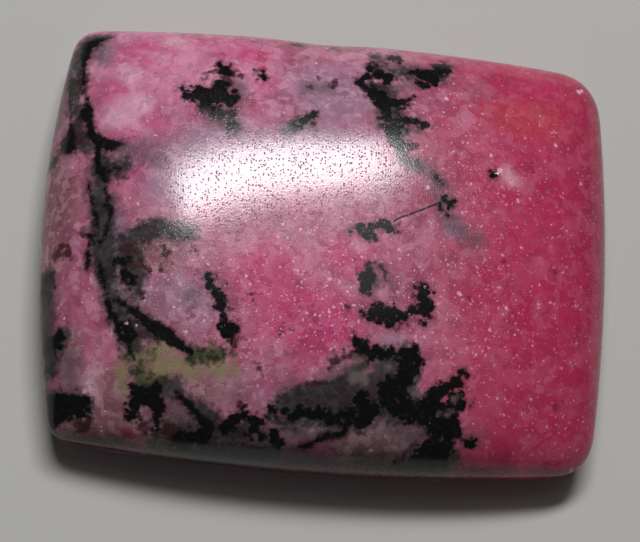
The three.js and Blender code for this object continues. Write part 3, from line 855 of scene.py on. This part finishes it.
class Wire:
    """An output of a node. Arithmetic on it adds Math nodes."""

    def __init__(self, finish, socket):
        self.finish = finish
        self.socket = socket

    def math(self, operation, *values):
        return self.finish.node("ShaderNodeMath", {"operation": operation}, dict(enumerate(values)))

    def __add__(self, other):
        return self.math("ADD", self, other)

    __radd__ = __add__

    def __sub__(self, other):
        return self.math("SUBTRACT", self, other)

    def __rsub__(self, other):
        return self.math("SUBTRACT", other, self)

    def __mul__(self, other):
        return self.math("MULTIPLY", self, other)

    __rmul__ = __mul__

    def __truediv__(self, other):
        return self.math("DIVIDE", self, other)

    def __rtruediv__(self, other):
        return self.math("DIVIDE", other, self)

    def lowest(self, other):
        return self.math("MINIMUM", self, other)

    def highest(self, other):
        return self.math("MAXIMUM", self, other)

    def other(self, name):
        """Another output of the same node."""
        return Wire(self.finish, self.socket.node.outputs[name])


class Finish:
    """A material and the ways of adding nodes to it."""

    def __init__(self, name):
        self.material = bpy.data.materials.new(name)
        self.material.use_nodes = True
        self.tree = self.material.node_tree
        self.tree.nodes.clear()

    def node(self, kind, settings, inputs, output=0):
        """Adds a node with its settings, sets or links its inputs, and gives an output if it has any."""
        node = self.tree.nodes.new(kind)
        for name, value in settings.items():
            setattr(node, name, value)
        for name, value in inputs.items():
            if isinstance(value, Wire):
                self.tree.links.new(value.socket, node.inputs[name])
            else:
                node.inputs[name].default_value = value
        if node.outputs:
            return Wire(self, node.outputs[output])

    def vector(self, operation, *values, output=0):
        settings = {"operation": operation}
        return self.node("ShaderNodeVectorMath", settings, dict(enumerate(values)), output)

    def scale(self, place, factor):
        """A place or a direction made that many times as long."""
        inputs = {0: place, "Scale": factor}
        return self.node("ShaderNodeVectorMath", {"operation": "SCALE"}, inputs)

    def bend(self, place, waves, reach):
        """A place moved about by a noise with that many waves in a millimetre."""
        inputs = {"Vector": place, "Scale": waves, "Detail": 1.0}
        shift = self.node("ShaderNodeTexNoise", {}, inputs, "Color")
        return self.vector("ADD", place, self.scale(shift, reach))

    def stored(self, name):
        """A number kept on the mesh."""
        return self.node("ShaderNodeAttribute", {"attribute_name": name}, {}, "Fac")

    def step(self, value, low, high):
        """0 below low, 1 above high, and a smooth step between."""
        inputs = {"Value": value, "From Min": low, "From Max": high, "To Min": 0.0, "To Max": 1.0}
        return self.node("ShaderNodeMapRange", {"interpolation_type": "SMOOTHSTEP"}, inputs)

    def inside(self, distance, softness, grow=0.0):
        """1 inside an edge and 0 outside it."""
        return 1 - self.step(distance, grow - softness, grow + softness)

    def mix(self, share, first, second):
        """The first colour, and the second where share is 1. The sockets for colours go by number,
        because those for numbers have the same names."""
        settings = {"data_type": "RGBA"}
        return self.node("ShaderNodeMix", settings, {0: share, 6: first, 7: second}, 2)

    def noise(self, place, size, detail=2.0, roughness=0.5, distortion=0.0):
        """Soft noise from 0 to 1 with features of about that size, in the place's own unit."""
        inputs = {
            "Vector": place, "Scale": 1 / size, "Detail": detail, "Roughness": roughness,
            "Distortion": distortion,
        }
        return self.node("ShaderNodeTexNoise", {}, inputs)

    def grains(self, place, size):
        """Cells of about that size in millimetres. Gives the distance to a cell's middle."""
        return self.node("ShaderNodeTexVoronoi", {}, {"Vector": place, "Scale": 1 / size}, "Distance")

    def random_of(self, cells):
        """A random number for each cell. The output Green is another one."""
        return self.node("ShaderNodeSeparateColor", {}, {0: cells.other("Color")})

    def surface(self, inputs):
        """Ends the material with a shader that has these inputs."""
        shader = self.node("ShaderNodeBsdfPrincipled", {}, inputs)
        self.node("ShaderNodeOutputMaterial", {}, {"Surface": shader})

    def segment_distance(self, place, start, end):
        """Distance from a flattened place to a straight segment, all in millimetres."""
        along = (end[0] - start[0], end[1] - start[1], 0.0)
        squared = along[0] ** 2 + along[1] ** 2
        offset = self.vector("SUBTRACT", place, (start[0], start[1], 0.0))
        share = self.vector("DOT_PRODUCT", offset, along, output="Value") / squared
        share = share.highest(0.0).lowest(1.0)
        gap = self.vector("SUBTRACT", offset, self.scale(along, share))
        return self.vector("LENGTH", gap, output="Value")


class Rhodonite(Finish):
    """Mottled pink stone with black oxide veins, under a fine polish with tiny pits. Each layer is
    laid over those before it."""

    def __init__(self):
        super().__init__("polished_rhodonite")
        coordinates = self.node("ShaderNodeTexCoord", {}, {}, "Object")
        self.place = self.scale(coordinates, 1 / MM)
        axes = self.node("ShaderNodeSeparateXYZ", {}, {0: self.place})
        self.height = axes.other("Z")
        self.noises = {name: self.noise(self.place, *numbers) for name, numbers in NOISES.items()}

        toward_right = axes.other("X") + self.waver(DRIFT)
        self.crimson = self.step(toward_right, *CRIMSON_REACH)
        self.deep = self.step(toward_right, *DEEP_REACH)
        self.area_wander = self.waver(AREA_WANDER)
        self.cloudy = self.waver(CLOUDY)
        jags = [(self.grains(self.place, size) - 0.5) * reach for size, reach in JAGS]
        self.ragged = self.waver(RAGGED) + sum(jags[1:], jags[0])
        self.pale_share = 1 - self.crimson * PALE_LOSS_CRIMSON
        self.pale_share = self.pale_share * (1 - self.stored("vivid") * PALE_LOSS_VIVID)

        self.lay_ground()
        self.lay_crystals()
        self.lay_flecks()
        self.lay_shade_and_pits()
        self.lay_stains()
        self.lay_black()
        self.lay_pale_spots()
        self.polish()

    def waver(self, weights):
        """A sum of noises, each between minus and plus half of its weight."""
        shifts = [(self.noises[name] - 0.5) * weight for name, weight in weights.items()]
        return sum(shifts[1:], shifts[0])

    def two_tone(self, value, tones):
        """A colour of two tones that follow a noise."""
        first, second, low, high = tones
        return self.mix(self.step(value, low, high), first, second)

    def area(self, name, edge=AREA_EDGE):
        """1 in the soft areas of that name and 0 outside them."""
        return self.step(self.stored(name) + self.area_wander, *edge)

    def marking(self, name, wander):
        """1 inside the markings of that name and 0 outside them, with edges moved by a noise."""
        return self.inside(self.stored(name) + wander, *EDGES[name])

    def lay(self, name, mask, tint):
        """Lays a colour over what is there, where the mask is 1."""
        self.ground = self.mix(mask * COVER[name], self.ground, tint)

    def lay_ground(self):
        """The pink ground, from rose on the left to crimson on the right, with soft areas."""
        blotch = self.noises["blotch"]
        self.ground = self.two_tone(blotch, DUSKY_TONES)
        self.lay("rose", self.area("rose"), self.two_tone(blotch, ROSE_TONES))
        self.lay("vivid", self.area("vivid"), VIVID_PINK)
        self.lay("crimson", self.crimson, self.two_tone(blotch, RED_TONES))
        self.lay("deep", self.deep, DEEP_CRIMSON)
        self.lay("orange", self.area("orange"), ORANGE_RED)
        # Lilac is the stone's mauve, and under the highlight partly painted highlight.
        self.lay("lilac", self.area("lilac"), LILAC_MAUVE)
        # Dull mauve, and painted shade on the left flank and at the front left.
        self.lay("dull", self.area("dull"), DULL_MAUVE)
        self.lay("tan", self.area("tan"), TAN_GREY)
        self.lay("magenta", self.area("magenta", SPOT_EDGE), MAGENTA_DARK)
        self.lay("milk", self.marking("milk", self.waver(MILK_WANDER)), MILKY_WHITE)

    def lay_crystals(self):
        """Interlocked crystals of slightly different tints, in two sizes, and milky clouding."""
        bent_place = self.bend(self.place, *CRYSTAL_BEND)
        for size, strength in CRYSTALS:
            tint = self.random_of(self.grains(bent_place, size))
            pale = self.step(tint, *CRYSTAL_PALE) * self.pale_share
            self.ground = self.mix(pale * strength, self.ground, MILKY_WHITE)
            dull = (1 - self.step(tint, *CRYSTAL_DULL)) * (1 - self.crimson * DULL_LOSS_CRIMSON)
            self.ground = self.mix(dull * strength, self.ground, STAIN_AND_PIT_SHADE_PURPLE)
        milky = self.step(self.noises["mottle"] + self.waver(CLOUDING_WANDER), *CLOUDING_EDGE)
        self.lay("clouding", milky * self.pale_share, MILKY_WHITE)

    def lay_flecks(self):
        """Fine pale flecks in two sizes, painted sparkle. The coarse ones also speckle the dark minerals
        later.
        """
        rippled_place = self.bend(self.place, *FLECK_BEND)
        sparkle = self.stored("sparkle")
        flecks = {}
        for name, (size, rarity, less_rare, strength, loss) in FLECKS.items():
            cells = self.grains(rippled_place, size)
            chance = self.random_of(cells)
            radius = FLECK_RADIUS + chance.other("Green") * FLECK_SPREAD
            edge = cells - radius + self.waver(FLECK_WANDER)
            present = self.step(chance - (rarity - sparkle * less_rare), 0.0, FLECK_CHANCE_STEP)
            flecks[name] = self.inside(edge, FLECK_SOFTNESS) * present
            share = flecks[name] * (strength - self.crimson * loss)
            self.ground = self.mix(share, self.ground, FLECK_PINK)
        self.coarse_flecks = flecks["coarse"]

    def lay_shade_and_pits(self):
        """Painted shade along the flanks, and the fine pits of the polish, which are painted a little
        darker too.
        """
        # Painted shade on the flanks.
        self.lay("shade", self.area("shade"), self.mix(self.crimson, SHADOW_BROWN, SHADOW_CRIMSON))
        cells = self.grains(self.place, PIT_CELL)
        rarity = PIT_RARE + self.waver(PIT_WANDER)
        present = self.step(self.random_of(cells) - rarity, 0.0, PIT_CHANCE_STEP)
        self.pit = self.inside(cells, PIT_SOFTNESS, PIT_RADIUS) * present
        # The pits are painted a little darker: painted shade in them.
        self.lay("pit", self.pit, STAIN_AND_PIT_SHADE_PURPLE)

    def lay_stains(self):
        """Smoke, the stain along the black, cream, slate, olive and brown."""
        two_noises = self.noises["mottle"] + self.noises["speckle"] - 0.5
        self.vein_distance = self.stored("black_vein") + self.waver(TORN)
        self.patch_distance = self.stored("black_patch") + self.ragged - PATCH_GROWTH
        nearest_black = self.vein_distance.lowest(self.patch_distance)

        self.lay("smoke", self.marking("smoke", self.cloudy), SMOKE_GREY)
        self.lay("halo", self.inside(nearest_black, *EDGES["halo"]), STAIN_AND_PIT_SHADE_PURPLE)
        cream_tint = self.two_tone(self.noises["mottle"], CREAM_TONES)
        self.lay("cream", self.marking("cream", self.cloudy), cream_tint)
        slate_wander = self.ragged * SLATE_RAGGED + self.cloudy * SLATE_CLOUDY
        self.slate = self.marking("slate", slate_wander)
        self.lay("slate", self.slate, self.two_tone(two_noises, SLATE_TONES))
        olive_wander = self.ragged * OLIVE_RAGGED + self.waver(OLIVE_WANDER)
        self.lay("olive", self.marking("olive", olive_wander), self.two_tone(two_noises, OLIVE_TONES))
        self.lay("brown", self.marking("brown", self.ragged), DARK_BROWN)

    def crack_line(self):
        """1 on the fine crack, which is only on the dome, and 0 beside it."""
        flat_place = self.vector("MULTIPLY", self.place, (1, 1, 0))
        distances = [
            self.segment_distance(flat_place, start, end) for start, end in zip(CRACK, CRACK[1:])]
        nearest = distances[0]
        for distance in distances[1:]:
            nearest = nearest.lowest(distance)
        on_top = self.step(self.height, GIRDLE_HEIGHT, GIRDLE_HEIGHT + CRACK_FADE)
        return self.inside(nearest + self.waver(CRACK_WANDER), *EDGES["crack"]) * on_top

    def lay_black(self):
        """The black veins, patches and crack, with grey specks of painted sparkle on what is dark."""
        veins = self.inside(self.vein_distance, *EDGES["black"])
        patches = self.inside(self.patch_distance, *EDGES["black"])
        self.black = veins.highest(patches).highest(self.crack_line())
        self.dark = self.black.highest(self.slate)
        self.lay("black", self.black, self.two_tone(self.noises["speckle"], BLACK_TONES))
        # Grey specks where the coarse painted sparkle flecks fall on dark minerals.
        self.lay("dark_sparkle", self.coarse_flecks * self.dark, SPARKLE_SPECK_GREY)

    def lay_pale_spots(self):
        """Pale grey inclusions among the black, and the larger bright flecks, which are painted glints.
        """
        self.lay("pale", self.marking("pale", self.ragged), PALE_GREY)
        # Painted glints.
        self.lay("glint", self.marking("glint", self.waver(GLINT_WANDER)), PALE_PINK)

    def polish(self):
        """Glossy dome, satin wall and back, and fine pits that the dark minerals hardly have."""
        pit = self.pit * (1 - self.dark * PIT_LOSS_DARK)
        unpolished = 1 - self.step(self.height, *WALL_FADE)
        roughness = ROUGHNESS["polished"] + self.waver(ROUGHNESS_WANDER) + pit * ROUGHNESS["pit"]
        roughness = roughness + unpolished * ROUGHNESS["unpolished"]
        relief = pit * RELIEF["pit"] + self.waver(RELIEF_WANDER) + self.black * RELIEF["black"]
        relief = relief + (self.noises["wall"] - 0.5) * unpolished * RELIEF["wall"]
        bump_inputs = {"Strength": RELIEF_STRENGTH, "Distance": RELIEF_DEPTH * MM, "Height": relief}
        bump = self.node("ShaderNodeBump", {}, bump_inputs)
        self.surface({
            "Base Color": self.ground, "Roughness": roughness, "Normal": bump, "IOR": POLISH_IOR,
        })


def pale_floor():
    """Plain matt paper under the stone."""
    finish = Finish("pale_floor")
    coordinates = finish.node("ShaderNodeTexCoord", {}, {}, "Object")
    tooth = finish.noise(coordinates, *PAPER_TOOTH)
    bump_inputs = {"Strength": PAPER_STRENGTH, "Distance": PAPER_DEPTH, "Height": tooth}
    bump = finish.node("ShaderNodeBump", {}, bump_inputs)
    finish.surface({"Base Color": FLOOR_COLOUR, "Roughness": PAPER_ROUGHNESS, "Normal": bump})
    bpy.ops.object.select_all(action="DESELECT")
    bpy.ops.mesh.primitive_plane_add(size=FLOOR_SIZE, location=(0, 0, -FLOOR_DROP))
    floor = bpy.context.object
    floor.name = "floor"
    bpy.ops.object.transform_apply(location=True, rotation=True, scale=True)
    floor.data.materials.append(finish.material)
    return floor


def aim(holder, place, target, turn):
    """Puts a light at a place, with its face to the target and turned in its own plane."""
    toward = Vector(target) - Vector(place)
    facing = toward.to_track_quat("-Z", "Y").to_matrix().to_4x4()
    spin = Matrix.Rotation(math.radians(turn), 4, "Z")
    holder.matrix_world = Matrix.Translation(place) @ facing @ spin


def soft_light(name, direction, distance, width, height, power, turn):
    """A rectangular lamp in a direction from the stone."""
    lamp = bpy.data.lights.new(name, "AREA")
    lamp.shape = "RECTANGLE"
    lamp.size = width
    lamp.size_y = height
    lamp.energy = power
    holder = bpy.data.objects.new(name, lamp)
    bpy.context.scene.collection.objects.link(holder)
    place = Vector(LIT_MIDDLE) + Vector(direction).normalized() * distance
    aim(holder, place, LIT_MIDDLE, turn)


def photograph_camera():
    """The camera at the photograph's viewing angle."""
    azimuth = math.radians(CAMERA_AZIMUTH)
    elevation = math.radians(CAMERA_ELEVATION)
    roll = math.radians(CAMERA_ROLL)
    back = Vector((
        math.sin(azimuth) * math.cos(elevation),
        -math.cos(azimuth) * math.cos(elevation),
        math.sin(elevation),
    ))
    level = Vector((math.cos(azimuth), math.sin(azimuth), 0))
    above = back.cross(level)
    right = level * math.cos(roll) + above * math.sin(roll)
    up = above * math.cos(roll) - level * math.sin(roll)
    eye = Vector(CAMERA_TARGET) * MM + back * CAMERA_DISTANCE * MM
    lens = bpy.data.cameras.new("camera")
    lens.sensor_width = CAMERA_SENSOR
    lens.sensor_fit = "HORIZONTAL"
    lens.lens = CAMERA_LENS
    lens.clip_start = NEAREST_SEEN
    lens.clip_end = FARTHEST_SEEN
    camera = bpy.data.objects.new("camera", lens)
    bpy.context.scene.collection.objects.link(camera)
    turn = Matrix((right, up, back)).transposed().to_4x4()
    camera.matrix_world = Matrix.Translation(eye) @ turn
    bpy.context.scene.camera = camera


def studio():
    """Soft light from behind and above the stone, and a dim room."""
    world = bpy.data.worlds.new("room")
    world.use_nodes = True
    room = world.node_tree.nodes["Background"]
    room.inputs["Color"].default_value = (1, 1, 1, 1)
    room.inputs["Strength"].default_value = ROOM_BRIGHTNESS
    bpy.context.scene.world = world
    soft_light("main_softbox", **MAIN_SOFTBOX)
    soft_light("overhead", **OVERHEAD)
    bpy.context.scene.view_settings.view_transform = "Standard"


stone = polished_stone()
stone.data.materials.append(Rhodonite().material)
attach(stone, "root")
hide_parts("stone")
pale_floor()
studio()
photograph_camera()
